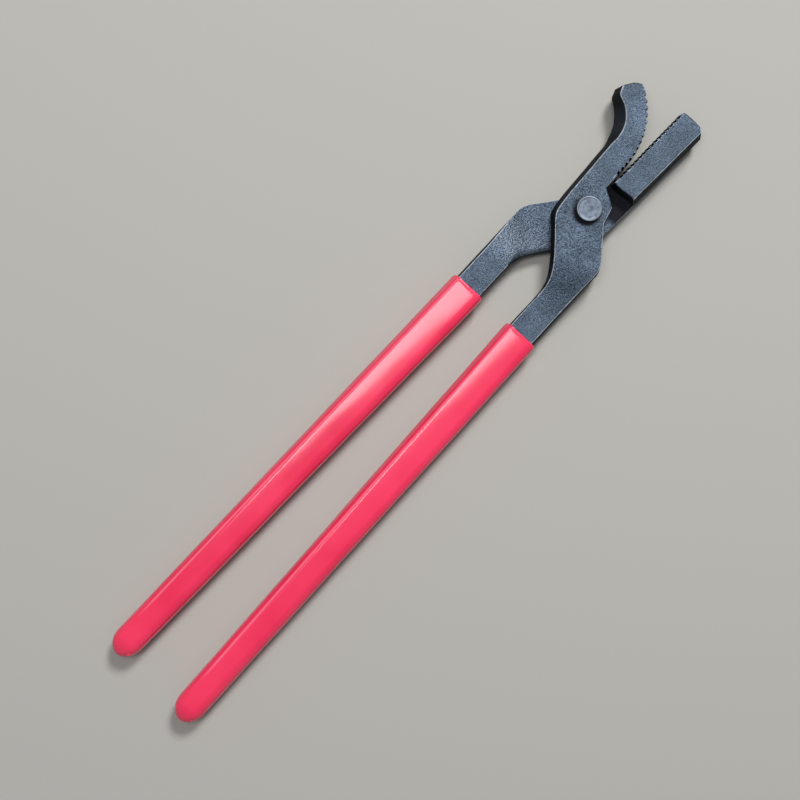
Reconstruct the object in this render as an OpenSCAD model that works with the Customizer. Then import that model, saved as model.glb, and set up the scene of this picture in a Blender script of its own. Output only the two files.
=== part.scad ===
// Nail clincher: two forged levers in a half lap joint on one rivet, with dipped grips.
// Millimetres. The rivet's axis is the Z axis and the jaws point along +X.
// The tool lies on its underside, which is the plane z = 0.

/* [Head] */
// Thickness of the jaws and of the two bosses together
head_t = 18; // [14:0.5:24]
// Gap between the two bosses, and under the rivet's head
lap_gap = 0.1; // [0.05:0.05:0.3]
// Distance from the rivet's axis to the straight back of each lever
back_y = 13.2; // [12:0.1:16]
// How far the back leaves the tool's axis, for each millimetre along it
back_flare = 0.042; // [0:0.002:0.08]
// Radius of the front of each boss
boss_r = 11.3; // [10:0.1:13]
// Distance from the rivet's axis to the shoulder where the full thickness starts
shoulder_x = 16.4; // [15:0.1:18]
// Draft of the forged walls, from the parting plane to the outer face
draft = 2; // [0.5:0.1:2.5]
// Bevel along the edges of the outer faces
edge_bevel = 0.5; // [0.2:0.1:0.8]

/* [Curved jaw] */
// Distance of its straight toothed edge from the tool's axis
curved_edge_y = 0.75; // [0.6:0.05:1.5]
// Where the straight toothed edge turns into the curve
curve_x = 26; // [24:0.5:30]
// Radius of the toothed curve
curve_r = 36; // [32:1:42]
// Angle of the toothed curve
curve_angle = 62; // [50:1:66]
// Length of the first tooth
curved_pitch = 2.6; // [2.2:0.1:3.4]
// How much longer each next tooth is
curved_growth = 0.05; // [0:0.01:0.08]
// Depth of the teeth
curved_depth = 0.9; // [0.4:0.1:1.2]

/* [Block jaw] */
// Distance from the rivet's axis to the end of the block
block_end_x = 61; // [50:0.5:75]
// How far the toothed edge of the block lies past the tool's axis
block_edge_y = 0.2; // [0:0.05:0.25]
// How far that edge falls away, for each millimetre along it
block_fall = 0.027; // [0:0.001:0.05]
// Length of a tooth
block_pitch = 2.45; // [2:0.05:3.5]
// Depth of the teeth
block_depth = 0.5; // [0.2:0.1:0.8]
// How far the outer corner at its end is cut back
block_corner = 1.8; // [1:0.1:4]

/* [Reins] */
// Width of each rein in front of its grip
rein_w = 14.2; // [12:0.1:15]
// Thickness of each rein in front of its grip
rein_t = 9; // [7:0.5:10]
// Width of the tail inside the grip
tail_w = 11; // [9:0.5:13]
// Thickness of the tail inside the grip
tail_t = 7.5; // [6:0.5:9]
// Distance from the tool's axis to the middle of each rein at the collar
rein_y = 16.1; // [15:0.1:18]
// How much further forward the outer side of the curved jaw's neck stands than the block jaw's
neck_shift = 1.8; // [0:0.1:2.5]
// Distance from the rivet's axis to the collar of each grip
collar_x = 61; // [56:0.5:70]
// Slope of each rein and grip away from the tool's axis
splay = 0.0188; // [0.01:0.0004:0.03]

/* [Grips] */
// Distance from the rivet's axis to the end of the curved jaw's grip
curved_reach = 293.7; // [230:0.1:340]
// Distance from the rivet's axis to the end of the block jaw's grip
block_reach = 291.1; // [230:0.1:340]
// Thickness of the dipped coat on the rein
coat = 1.6; // [1:0.05:2.5]
// Length of the coat past the end of the steel
coat_end = 4; // [2:0.5:8]
// Length of the rounded end
end_round = 9; // [6:0.5:14]

/* [Rivet] */
// Diameter of the shank
shank_d = 8; // [6:0.1:10]
// Diameter of the head
rivet_head_d = 11.2; // [10:0.1:14]
// Height of the head
rivet_head_h = 3.2; // [2:0.1:5]
// Bevel round the top of the head
rivet_bevel = 0.5; // [0.2:0.1:1]
// Diameter of the tail, spread flush with the underside
rivet_tail_d = 11; // [9:0.1:13]
// Running fit of the shank in the curved jaw's lever, on the radius
running_fit = 0.05; // [0.01:0.01:0.1]

/* [Hidden] */
$fn = 96;

// Each lever is drawn as the top one: the lap plane is z = 0, its outer face is at head_t / 2,
// its jaw lies on the +Y side and its rein on the -Y side. The block jaw's lever is then turned over.
mid_z = head_t / 2;
boss_lo = lap_gap / 2;
fixed_fit = 0.02;
steel = "#5a6b80";
rubber = "#ee3f5b";
bright = "#8f94a8";

// A lever's widest outline lies at the parting plane. Its left edge is its inner side and back,
// and its right edge is its outer side, the front of the boss and the teeth.
rein_in_y = -rein_y + rein_w / 2;
rein_out_y = -rein_y - rein_w / 2;
boss_low = -48;
boss_low_y = boss_r * sin(boss_low);
throat_x = boss_r + 1.2;

// The neck, from the collar to the front of the boss. Each row has the left edge's x and its rise
// from the rein (0) to the back (1), the right edge's x and its rise from the rein (0) to the
// boss (1), its share of the neck's shift, and how far the metal has come from the rein's middle
// plane (0) to the top half (1).
NECK = [
    [-collar_x + 6, 0, -collar_x + 6, 0, 0, 0],
    [-44, 0, -44, 0, 0, 0],
    [-38.5, 0.023, -34, 0, 0, 0.25],
    [-34.5, 0.095, -26, 0, 0, 0.75],
    [-30.5, 0.23, -20.5, 0, 0.5, 1],
    [-27, 0.356, -18, 0.01, 1, 1],
    [-23.7, 0.486, -15.2, 0.09, 1, 1],
    [-20, 0.63, -11.8, 0.25, 1, 1],
    [-16.2, 0.784, -7.3, 0.5, 0.9, 1],
    [-13.2, 0.9, -3.1, 0.715, 0.7, 1],
    [-9.8, 0.968, 0, 0.86, 0.3, 1],
    [-5, 0.99, 3.2, 0.925, 0, 1],
    [0, 1, boss_r * cos(boss_low), 1, 0, 1],
];
// The front of the boss, round to the throat: the left edge's x, then the right edge's angle
// round the rivet and how far it stands out of the boss's radius.
BOSS = [
    [3, -37, 0],
    [6, -25, 0.1],
    [9, -12, 0.5],
    [11.5, -4, 1.1],
];
// The curved jaw's back at equal steps along the toothed curve: how many degrees it runs ahead
// of the teeth, and how much deeper the jaw is than where the curve starts.
CURVED_BACK = [
    [0, 0], [-0.6, 0], [0, -0.05], [0.7, -0.1], [1.5, -0.1], [2.6, 0.1], [4.6, 0.3], [8.2, 0.2], [8.7, -2.6],
];

function mix(a, b, t) = a + (b - a) * t;
// Smooth curve through b and c, led by the points before and after them.
function through(a, b, c, d, t) =
    b + (c - a) * t / 2 + (2 * a - 5 * b + 4 * c - d) * t * t / 2
    + (3 * b - a - 3 * c + d) * t * t * t / 2;
function back_at(x) = back_y + back_flare * x;

// One cross-section: left and right points, lowest and highest z, and the drafts of both sides.
// The walls lean in from the parting plane, and each outer face has a bevelled edge.
function section(l, r, lo, hi, left_draft, right_draft) =
    let (across = (l - r) / norm(l - r),
         part = max(0, lo + 2 * edge_bevel),
         low_in = max(0, -lo) / mid_z,
         high_in = hi / mid_z)
    [
        at(r + across * (right_draft * low_in + edge_bevel), lo),
        at(r + across * right_draft * low_in, lo + edge_bevel),
        at(r, part),
        at(r + across * right_draft * high_in, hi - edge_bevel),
        at(r + across * (right_draft * high_in + edge_bevel), hi),
        at(l - across * (left_draft * high_in + edge_bevel), hi),
        at(l - across * left_draft * high_in, hi - edge_bevel),
        at(l, part),
        at(l - across * left_draft * low_in, lo + edge_bevel),
        at(l - across * (left_draft * low_in + edge_bevel), lo),
    ];
function at(p, z) = [p.x, p.y, z];

// Closed solid through a row of cross-sections.
module skin(rings) {
    n = len(rings[0]);
    last = len(rings) - 1;
    polyhedron(
        points = [for (ring = rings) each ring],
        faces = concat(
            [[for (k = [n - 1:-1:0]) k]],
            [for (i = [0:last - 1], k = [0:n - 1])
                let (a = i * n + k, b = i * n + (k + 1) % n)
                each [[a, b, a + n], [b, b + n, a + n]]],
            [[for (k = [0:n - 1]) last * n + k]]
        )
    );
}

// Cross-section of a rein at x, where grow widens it all round.
function rein_at(x, end_x, grow = 0) =
    let (t = max(0, (-collar_x - x) / (end_x - collar_x)),
         w = mix(rein_w, tail_w, t) / 2 + grow,
         h = mix(rein_t, tail_t, t) / 2 + grow,
         y = -rein_y + splay * min(0, x + collar_x))
    section([x, y + w], [x, y - w], -h, h, draft / 2, draft);

function neck_left(row) = [row[0], mix(rein_in_y, back_at(row[0]), row[1])];
function neck_right(row, shift) =
    [row[2] + shift * row[4], mix(rein_out_y, boss_low_y, row[3])];
function neck_row(i, shift) =
    let (row = NECK[max(0, min(len(NECK) - 1, i))])
    [each neck_left(row), each neck_right(row, shift), row[5]];
// Stations of the neck, with three steps between two rows.
function neck(shift) = [
    for (i = [0:len(NECK) - 2], t = [0, 1 / 3, 2 / 3])
        let (q = through(neck_row(i - 1, shift), neck_row(i, shift),
                         neck_row(i + 1, shift), neck_row(i + 2, shift), t),
             rise = max(0, min(1, q[4])))
        section(
            [q[0], q[1]], [q[2], q[3]],
            mix(-rein_t / 2, boss_lo, rise), mix(rein_t / 2, mid_z, rise),
            mix(draft / 2, draft, rise), mix(draft, draft / 2, rise)
        ),
];
function boss_section(x, right, right_draft) =
    section([x, back_at(x)], right, boss_lo, mid_z, draft, right_draft);
function boss_front(edge_y) = concat(
    [boss_section(0, neck_right(NECK[len(NECK) - 1], 0), draft / 2)],
    [for (b = BOSS)
        boss_section(b[0], (boss_r + b[2]) * [cos(b[1]), sin(b[1])], draft / 2)],
    [boss_section(throat_x + 0.1, [throat_x, edge_y], 0)],
    [boss_section(shoulder_x, [shoulder_x, edge_y], 0)]
);

// Toothed edge of the curved jaw, at a length s from the shoulder: a line, then an arc.
curve_run = curve_x - shoulder_x;
curved_len = curve_run + curve_r * curve_angle * PI / 180;
function curved_right(s) =
    s < curve_run
        ? [shoulder_x + s, curved_edge_y]
        : let (a = (s - curve_run) / curve_r * 180 / PI)
            [curve_x + curve_r * sin(a), curved_edge_y + curve_r * (1 - cos(a))];
jaw_depth = back_at(curve_x) - curved_edge_y;
function curved_back(i) = CURVED_BACK[max(0, min(len(CURVED_BACK) - 1, i))];
function curved_left(s) =
    s < curve_run
        ? [shoulder_x + s, back_at(shoulder_x + s)]
        : let (steps = len(CURVED_BACK) - 1,
               share = (s - curve_run) / (curved_len - curve_run) * steps,
               i = min(steps - 1, floor(share)),
               q = through(curved_back(i - 1), curved_back(i), curved_back(i + 1), curved_back(i + 2), share - i),
               a = share / steps * curve_angle + q[0],
               r = curve_r - jaw_depth - q[1])
            [curve_x + r * sin(a), curved_edge_y + curve_r - r * cos(a)];

// Toothed edge and back of the block jaw, at a length s from the shoulder.
block_len = block_end_x - shoulder_x;
function block_right(s) = [shoulder_x + s, -block_edge_y + block_fall * s];
function block_left(s) =
    [shoulder_x + s, back_at(shoulder_x + s) - max(0, s - block_len + block_corner)];

// Where tooth k starts, with each tooth longer than the one before it.
function tooth_s(k, first, pitch, growth) = first + k * pitch + growth * k * (k - 1) / 2;
// Pairs of length and depth for the tip and the root of each tooth, up to the jaw's end.
function teeth(first, pitch, growth, depth, end) = [
    for (k = [0:60])
        let (tip = tooth_s(k, first, pitch, growth), next = tooth_s(k + 1, first, pitch, growth))
        if (next < end) each [[tip, 0], [next - 0.25, depth]],
];
function last_tip(marks) = marks[len(marks) - 1][0] + 0.25;

function jaw_section(l, r, depth, side) =
    let (across = (l - r) / norm(l - r))
    section(l, r + across * depth, -mid_z, mid_z, draft, side);
first_tooth = 2.8;
curved_marks = teeth(first_tooth, curved_pitch, curved_growth, curved_depth, curved_len - 0.5);
block_marks = teeth(first_tooth, block_pitch, 0, block_depth, block_len - block_corner - 0.5);
function curved_jaw() = [
    for (m = concat([[0.01, 0]], curved_marks, [[last_tip(curved_marks), 0], [curved_len, 0]]))
        jaw_section(curved_left(m[0]), curved_right(m[0]), m[1], 0),
];
function block_jaw() = [
    for (m = concat([[0.01, 0]], block_marks,
                    [[last_tip(block_marks), 0], [block_len - block_corner, 0], [block_len, 0]]))
        jaw_section(block_left(m[0]), block_right(m[0]), m[1], draft / 2),
];

// Rivet hole through a boss.
module bore(r) {
    translate([0, 0, -1]) cylinder(h = mid_z + 2, r = r);
}

// Rein, neck and boss, with the jaw's stations after them.
module lever(reach, shift, edge_y, jaw) {
    tail_x = -(reach - coat_end);
    skin(concat(
        [rein_at(tail_x, -tail_x), rein_at(-collar_x, -tail_x)],
        neck(shift),
        boss_front(edge_y),
        jaw
    ));
}

module curved_jaw_lever() {
    color(steel)
    translate([0, 0, mid_z])
    difference() {
        lever(curved_reach, neck_shift / 2, curved_edge_y, curved_jaw());
        bore(shank_d / 2 + running_fit);
    }
}

// Turned over, so that its boss lies under the other one.
module block_jaw_lever() {
    color(steel)
    translate([0, 0, mid_z])
    rotate([180, 0, 0])
    difference() {
        lever(block_reach, -neck_shift / 2, -block_edge_y, block_jaw());
        bore(shank_d / 2 + fixed_fit);
        translate([0, 0, mid_z - tail_h])
            cylinder(h = tail_h, r1 = shank_d / 2 + fixed_fit, r2 = rivet_tail_d / 2 + fixed_fit);
    }
}

// The rivet: a flat head with a bevelled rim, a shank, and a tail spread into a countersink.
tail_h = (rivet_tail_d - shank_d) / 2;
module pivot_rivet() {
    color(bright)
    rotate_extrude()
    polygon([
        [0, 0],
        [rivet_tail_d / 2, 0],
        [shank_d / 2, tail_h],
        [shank_d / 2, head_t + lap_gap / 2],
        [rivet_head_d / 2, head_t + lap_gap / 2],
        [rivet_head_d / 2, head_t + rivet_head_h - rivet_bevel],
        [rivet_head_d / 2 - rivet_bevel, head_t + rivet_head_h],
        [0, head_t + rivet_head_h],
    ]);
}

// Cross-section of a grip: a rounded rectangle of sixteen points.
grip_sides = 16;
function soft(v) = sign(v) * pow(abs(v), 0.6);
function grip_section(x, y, w, h) = [
    for (k = [0:grip_sides - 1])
        let (a = 360 * (k + 0.5) / grip_sides)
        [x, y - w * soft(cos(a)), h * soft(sin(a))],
];
// Size of the rounded end at a distance from the tip, as a quarter ellipse.
function end_share(d) = sqrt(1 - pow(1 - min(1, d / end_round), 2));
module grip(reach) {
    tail_x = -(reach - coat_end);
    steps = [0.15, 0.6, 1.5, 3, 5, end_round];
    xs = concat([for (d = steps) -reach + d], [-collar_x - 1.5, -collar_x - 0.5, -collar_x]);
    difference() {
        skin([for (x = xs)
            let (t = (-collar_x - x) / (reach - collar_x),
                 lip = x > -collar_x - 1 ? 0.35 * (x + collar_x + 1) : 0,
                 share = end_share(x + reach),
                 w = (mix(rein_w, tail_w, t) / 2 + coat - lip) * share,
                 h = (mix(rein_t, tail_t, t) / 2 + coat - lip) * share)
            grip_section(x, -rein_y + splay * (x + collar_x), w, h)
        ]);
        skin([
            rein_at(tail_x - fixed_fit, -tail_x, fixed_fit),
            rein_at(-collar_x, -tail_x, fixed_fit),
            rein_at(-collar_x + 1, -tail_x, fixed_fit),
        ]);
    }
}

module curved_jaw_grip() {
    color(rubber)
    translate([0, 0, mid_z])
    grip(curved_reach);
}

module block_jaw_grip() {
    color(rubber)
    translate([0, 0, mid_z])
    rotate([180, 0, 0])
    grip(block_reach);
}

curved_jaw_lever();
block_jaw_lever();
pivot_rivet();
curved_jaw_grip();
block_jaw_grip();
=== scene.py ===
from functools import partial
import math

import bpy
import numpy as np
from mathutils import Matrix, Vector


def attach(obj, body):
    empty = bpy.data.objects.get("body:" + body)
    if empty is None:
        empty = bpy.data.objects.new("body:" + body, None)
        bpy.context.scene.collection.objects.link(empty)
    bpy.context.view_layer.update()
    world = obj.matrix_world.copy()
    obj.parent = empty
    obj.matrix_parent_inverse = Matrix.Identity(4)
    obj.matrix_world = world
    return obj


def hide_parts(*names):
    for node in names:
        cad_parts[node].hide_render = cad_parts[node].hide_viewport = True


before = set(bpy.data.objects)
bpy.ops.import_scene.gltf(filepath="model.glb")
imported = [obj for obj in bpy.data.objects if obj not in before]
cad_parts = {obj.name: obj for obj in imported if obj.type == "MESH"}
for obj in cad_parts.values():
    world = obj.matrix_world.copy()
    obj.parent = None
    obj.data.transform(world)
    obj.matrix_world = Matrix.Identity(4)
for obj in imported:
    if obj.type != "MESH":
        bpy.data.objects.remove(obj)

# A nail clincher: two forged levers crossed in a half lap on one rivet, with dipped grips.
# Metres. The rivet's axis is the Z axis, the jaws point along +X, and the tool lies on z = 0.
# Each lever is shaped as the upper one, with z measured from the lap plane between the two:
# its jaw lies on the left, +Y, and its rein on the right, -Y. The lower one is that turned over.

bl_info = {
    "name": "Nail clincher",
    "version": (1, 0, 0),
    "blender": (4, 5, 0),
    "location": "3D View > Sidebar > Clincher",
    "description": "Builds a farrier's nail clincher with dipped grips",
    "category": "Add Mesh",
}

MM = 0.001
# Each half's name starts the names of its body, its lever's and grip's nodes, and its pieces.
UPPER = "curved_jaw"
LOWER = "block_jaw"
# Values that the materials read from their pieces' points.
WORN = "worn_edge"
SCALE_AND_SHADE = "kept_scale"
PEBBLED = "pebbled"
PAINTED_SHEEN = "polished"
PAINTED_HIGHLIGHT = "drawn_taut"


def length(name, millimetres, description):
    """A size that a user may change, given in millimetres and kept in metres."""
    return bpy.props.FloatProperty(
        name=name, description=description, default=millimetres * MM,
        min=0, precision=5, unit="LENGTH", subtype="DISTANCE")


def number(name, value, description):
    """A plain number, such as a ratio or a lamp's watts."""
    return bpy.props.FloatProperty(name=name, description=description, default=value, min=0, precision=4)


def srgb(text):
    """A hex colour as linear red, green, blue and alpha."""
    part = np.array([int(text[k:k + 2], 16) for k in (1, 3, 5)]) / 255
    linear = np.where(part <= 0.04045, part / 12.92, ((part + 0.055) / 1.055) ** 2.4)
    return (*linear.tolist(), 1.0)


def colour(name, text, description):
    """A colour that a user may change, given as sRGB hex."""
    return bpy.props.FloatVectorProperty(
        name=name, description=description, default=srgb(text), size=4, min=0, max=1, subtype="COLOR")


class LeverSizes(bpy.types.PropertyGroup):
    """What both forged levers share."""
    half_height: length("Half height", 9, "Height of each outer face from the lap plane")
    lap_gap: length("Lap gap", 0.1, "Gap between the two bosses")
    back: length("Back", 13.2, "From the rivet's axis to the straight back")
    back_flare: number("Back flare", 0.042, "How far the back leaves the axis along the tool")
    boss_radius: length("Boss radius", 11.3, "Radius of the front of each boss")
    shoulder: length("Shoulder", 16.4, "From the rivet's axis to the step up to full height")
    draft: length("Draft", 2, "How far a wall leans in by the outer face")
    edge_radius: length("Edge radius", 0.75, "Rounding along the edges of the outer faces")
    rein_width: length("Rein width", 14.2, "Width of each rein in front of its grip")
    rein_height: length("Rein height", 9, "Thickness of each rein in front of its grip")
    tail_width: length("Tail width", 11, "Width of the steel at the end of the grip")
    tail_height: length("Tail height", 7.5, "Thickness of the steel at the end of the grip")
    rein_distance: length("Rein distance", 16.1, "From the tool's axis to the middle of each rein")
    crotch_radius: length("Crotch radius", 3, "Rounding of the neck's inner edge towards the lap")
    neck_shift: length("Neck shift", 1.8, "How much further forward the upper neck's outer side stands")
    collar: length("Collar", 61, "From the rivet's axis to the front edge of each grip")
    splay: number("Splay", 0.0188, "Slope of each rein away from the tool's axis")
    front_bevel: length("Front bevel", 1.2, "Rounding along the front of each boss")
    step_wave: length("Step wave", 0.25, "How far the forged steps wander from straight")
    waviness: length("Waviness", 0.14, "Depth of the hollows that forging leaves")


def toothed(depth, bevel, land, land_fall, toe_bevel, end_swell, end_skew):
    """The properties that both jaws have, for one jaw's defaults."""
    return {
        "depth": length("Depth", depth, "Depth of the teeth"),
        "bevel": length("Bevel", bevel, "Rounding along the toothed edge"),
        "land": length("Land", land, "Width of the strip along the teeth that falls away"),
        "land_fall": length("Land fall", land_fall, "How far that strip falls away"),
        "toe_bevel": length("Toe bevel", toe_bevel, "Rounding of the toe's worn corner"),
        "end_swell": length("End swell", end_swell, "How far the end face swells out"),
        "end_skew": number("End skew", end_skew, "How far that swell leans towards the toe")}


class CurvedJawSizes(bpy.types.PropertyGroup):
    """The upper lever's jaw, bent round the hoof."""
    edge: length("Edge", 0.75, "From the tool's axis to the straight toothed edge")
    bend_start: length("Bend start", 26, "Where the straight edge turns into the curve")
    bend_radius: length("Bend radius", 36, "Radius of the toothed curve")
    bend_angle: bpy.props.FloatProperty(
        name="Bend angle", description="Angle of the toothed curve", default=math.radians(62),
        unit="ROTATION", subtype="ANGLE")
    pitch: length("Pitch", 2.6, "Length of the first tooth")
    growth: length("Growth", 0.05, "How much longer each next tooth is")
    __annotations__ |= toothed(
        depth=1.45, bevel=0.3, land=0.9, land_fall=0.12, toe_bevel=0.7, end_swell=0.8, end_skew=0.8)


class BlockJawSizes(bpy.types.PropertyGroup):
    """The lower lever's jaw, a straight block."""
    end: length("End", 61, "From the rivet's axis to the end of the block")
    edge: length("Edge", 0.2, "How far the toothed edge lies past the tool's axis")
    fall: number("Fall", 0.027, "How far that edge falls away along the block")
    pitch: length("Pitch", 2.45, "Length of a tooth")
    corner: length("Corner", 1.8, "How far the outer corner is cut back")
    __annotations__ |= toothed(
        depth=0.9, bevel=0.35, land=1.0, land_fall=0.3, toe_bevel=0.5, end_swell=0.2, end_skew=0)


class GripSizes(bpy.types.PropertyGroup):
    """The dipped coats on the reins."""
    upper_reach: length("Upper reach", 293.7, "From the rivet's axis to the end of the upper grip")
    lower_reach: length("Lower reach", 291.1, "From the rivet's axis to the end of the lower grip")
    coat: length("Coat", 1.6, "Thickness of the coat")
    coat_end: length("Coat at the end", 4, "Length of the coat past the end of the steel")
    end_round: length("Rounded end", 9, "Length of the rounded end")
    corner: length("Corner", 3.2, "Rounding of the coat's soft corners")
    ridge: length("Ridge", 1.6, "Rounding of the coat's two tight corners")
    slant: length("Slant", 2.2, "How far the walls by those two lean in")
    crown: length("Crown", 0.19, "How far the coat's flats bulge")
    lip: length("Lip", 0.5, "Rounding of the coat's front edge")
    fit: length("Fit", 0.02, "Gap between the coat and the steel")


class RivetSizes(bpy.types.PropertyGroup):
    """The hot-set rivet."""
    shank: length("Shank", 8, "Diameter of the shank")
    head: length("Head", 11.2, "Diameter of the head")
    head_height: length("Head height", 3.2, "Height of the head")
    rim: length("Rim", 0.55, "Rounding round the top of the head")
    dish: length("Dish", 0.12, "How far the middle of the head lies below its rim")
    tail: length("Tail", 11, "Diameter of the tail, spread flush underneath")
    upper_fit: length("Running fit", 0.05, "Gap round the shank in the upper lever")
    lower_fit: length("Tight fit", 0.02, "Gap round the shank in the lower lever")


class Finishes(bpy.types.PropertyGroup):
    """Colours of the steel, the rivet and the coats."""
    # Painted shade, in part: walls and the rivet's side take this near black, partly for their whole scale
    # and partly as shade on sides that face away from the light overhead.
    wall_scale_and_shade: colour("Black scale", "#15181d", "Walls, where the scale is whole")
    # The lap faces by the step and a disc round the rivet take this: dark scale, with painted shade in the
    # recess and the painted shadow of the rivet's head.
    lap_scale_and_shade: colour("Lap scale", "#1f2026", "Lap faces, where nothing rubs")
    scale_dark: colour("Dark scale", "#424d58", "Dark patches of the rubbed faces")
    scale_light: colour("Light scale", "#4e5b6a", "Light patches of the rubbed faces")
    # This pale steel also draws the painted sheen on the neck and, in part, the rivet's rim, which is
    # partly a painted highlight.
    worn_steel: colour("Worn steel", "#b9c3d0", "Edges where the scale is rubbed off")
    rivet_steel: colour("Rivet steel", "#6a7381", "The rivet's rubbed head")
    rivet_dark: colour("Rivet stain", "#4a525e", "Stains on the rivet's head")
    vinyl: colour("Vinyl", "#f3355c", "The dipped coats")
    # A painted highlight along the coat's tight ridges.
    vinyl_highlight: colour("Taut vinyl", "#ff8ea4", "Where the coat has drawn thin over a ridge")
    vinyl_deep: colour("Deep vinyl", "#e8264f", "Where the coat is thicker")


class Studio(bpy.types.PropertyGroup):
    """Floor, lamps and camera."""
    floor: colour("Floor", "#aeaca6", "Matt pale floor")
    backdrop: colour("Backdrop", "#c3c1bc", "Pale backdrop that the floor runs out into")
    zenith: colour("Zenith", "#f2f6ff", "Light from straight above")
    ceiling: colour("Ceiling", "#757b85", "What gloss shows of the studio overhead")
    horizon: colour("Horizon", "#5a5c60", "Light from the sides")
    key_power: number("Key", 31, "Watts of the lamp beyond the jaws")
    top_power: number("Top", 9, "Watts of the broad lamp overhead")
    ambient: number("Ambient", 0.28, "Strength of the light all round")
    camera_height: length("Camera height", 629, "Height of the camera above the floor")
    view_width: length("View width", 362.2, "Width of the view at the lap plane")


# Shapes

# The neck, from the collar to the front of the boss. Each row has the left edge's x in
# millimetres and its rise from the rein (0) to the back (1), the same for the right edge up to
# the boss, its share of the neck's shift, and how far the metal has come from the rein's middle
# plane (0) to the top half (1).
NECK = [
    [-61, 0, -61, 0, 0, 0],
    [-55, 0, -55, 0, 0, 0],
    [-44, 0, -44, 0, 0, 0],
    [-38.5, 0.023, -34, 0, 0, 0.21],
    [-34.5, 0.095, -26, 0, 0, 0.58],
    [-30.5, 0.23, -20.5, 0, 0.5, 0.88],
    [-27, 0.356, -18, 0.01, 1, 0.99],
    [-23.7, 0.486, -15.2, 0.09, 1, 1],
    [-20, 0.63, -11.8, 0.25, 1, 1],
    [-16.2, 0.784, -7.3, 0.5, 0.9, 1],
    [-13.2, 0.9, -3.1, 0.715, 0.7, 1],
    [-9.8, 0.968, 0, 0.86, 0.3, 1],
    [-5, 0.99, 3.2, 0.925, 0, 1],
    [0, 1, 7.561, 1, 0, 1],
]
# The front of the boss: the left edge's x in millimetres, then the right edge's angle round
# the rivet in degrees and how far it stands out of the boss's radius in millimetres.
BOSS = [
    [0, -48, 0],
    [3, -37, 0],
    [6, -25, 0.1],
    [9, -12, 0.5],
    [11.5, -4, 1.1],
]
THROAT_OUT = 1.2 * MM
# The curved jaw's back at equal steps along the curve: how many degrees it runs ahead of the
# teeth, how many millimetres deeper the jaw is than at the start, and how many more its wall
# leans in.
CURVED_BACK = [
    [0, 0, 0],
    [-0.6, 0.2, 0.3],
    [0, 0.45, 1.4],
    [0.7, 0.5, 2.1],
    [1.5, 0.4, 2.3],
    [2.6, 0.5, 2.2],
    [4.6, 0.5, 1.7],
    [8.2, 0.3, 0.6],
    [8.7, -2.6, 0.4],
]
# The teeth: where the first starts, how far a steep side leans, and the shares of a tooth where its
# crest ends and its floor is almost reached.
FIRST_TOOTH = 2.8 * MM
TOOTH_RISE = 0.12 * MM
CREST = 0.22
CUT = 0.5
# The jaws: the lean and the foot of the step down from the lap, where the even walls start, and the
# rounding round the end face. Then the rounding along the lap and the least one anywhere.
STEP_LEAN = 0.4 * MM
FOOT_RADIUS = 0.6 * MM
WALLS_FROM = 1.2 * MM
END_ROLL = 1.0 * MM
LAP_ROUNDING = 0.3 * MM
LEAST_ROUNDING = 0.15 * MM
# The surface of a lever: the lengths of its forged hollows, the rubbed brow above the teeth, a
# dark disc round the rivet, set a little towards the reins, which is the painted shadow of the
# rivet's head, the slope of the neck that carries a painted sheen, and the stretch that the
# hammer left pebbled.
LONG_HOLLOWS = (9 * MM, 22 * MM)
SHORT_HOLLOWS = (3 * MM, 7 * MM)
BROW_SPAN = 0.28 * MM
SHADOW_DISC = 7.1 * MM
SHADOW_BACK = 1.0 * MM
SHADOW_FADE = 1.3 * MM
SHEEN_SHARE = 0.11
SHEEN_AT = -32 * MM
SHEEN_SPAN = 8 * MM
PEBBLED_FROM = -50 * MM
PEBBLED_TO = 18 * MM
PEBBLED_FADE = 12 * MM
# The coats: both kinds of corner and the lean of the walls by the end, the lean by a soft corner,
# how much lower the collar's edge is and over what length, and the waves of the vinyl's flow.
END_CORNER = 4.2 * MM
END_RIDGE = 3.6 * MM
END_SLANT = 1 * MM
SOFT_SLANT = 0.5 * MM
COLLAR_FALL = 0.12 * MM
COLLAR_FALL_RUN = 2 * MM
FLOW_WAVES = (18 * MM, 60 * MM)
FLOW_DEPTH = 0.16 * MM
# The painted highlight along the tight ridges fades out over this length before the rounded end.
HIGHLIGHT_FADE = 25 * MM


def mix(a, b, t):
    """The value a share t of the way from a to b."""
    return a + (b - a) * t


def smooth(t):
    """A rise from 0 to 1 with level ends: 3 t squared less 2 t cubed, held outside 0 to 1."""
    t = np.clip(t, 0, 1)
    return t * t * (3 - 2 * t)


def through(rows, t):
    """Points at places t on the smooth curve through rows, which passes each row with the slope
    of the line between its neighbours."""
    rows = np.asarray(rows, float)
    last = len(rows) - 1
    i = np.clip(np.floor(t).astype(int), 0, last - 1)
    f = (t - i)[:, None]
    a, b, c, d = (rows[np.clip(i + k, 0, last)] for k in (-1, 0, 1, 2))
    second = (2 * a - 5 * b + 4 * c - d) * f ** 2
    third = (3 * b - a - 3 * c + d) * f ** 3
    return b + (c - a) * f / 2 + second / 2 + third / 2


def waves(points, wavelengths, seed, count=18):
    """Smooth unevenness from 0 to 1: a sum of sine waves of seeded directions and phases, with
    lengths spread between the two wavelengths."""
    rng = np.random.default_rng(seed)
    turn = rng.normal(size=(count, 3))
    turn /= np.linalg.norm(turn, axis=1)[:, None]
    rate = 2 * math.pi / rng.uniform(*wavelengths, count)
    phase = rng.uniform(0, 2 * math.pi, count)
    wave = np.sin(points @ (turn * rate[:, None]).T + phase)
    return np.clip(0.5 + wave.sum(-1) / math.sqrt(count) / 3, 0, 1)


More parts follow.
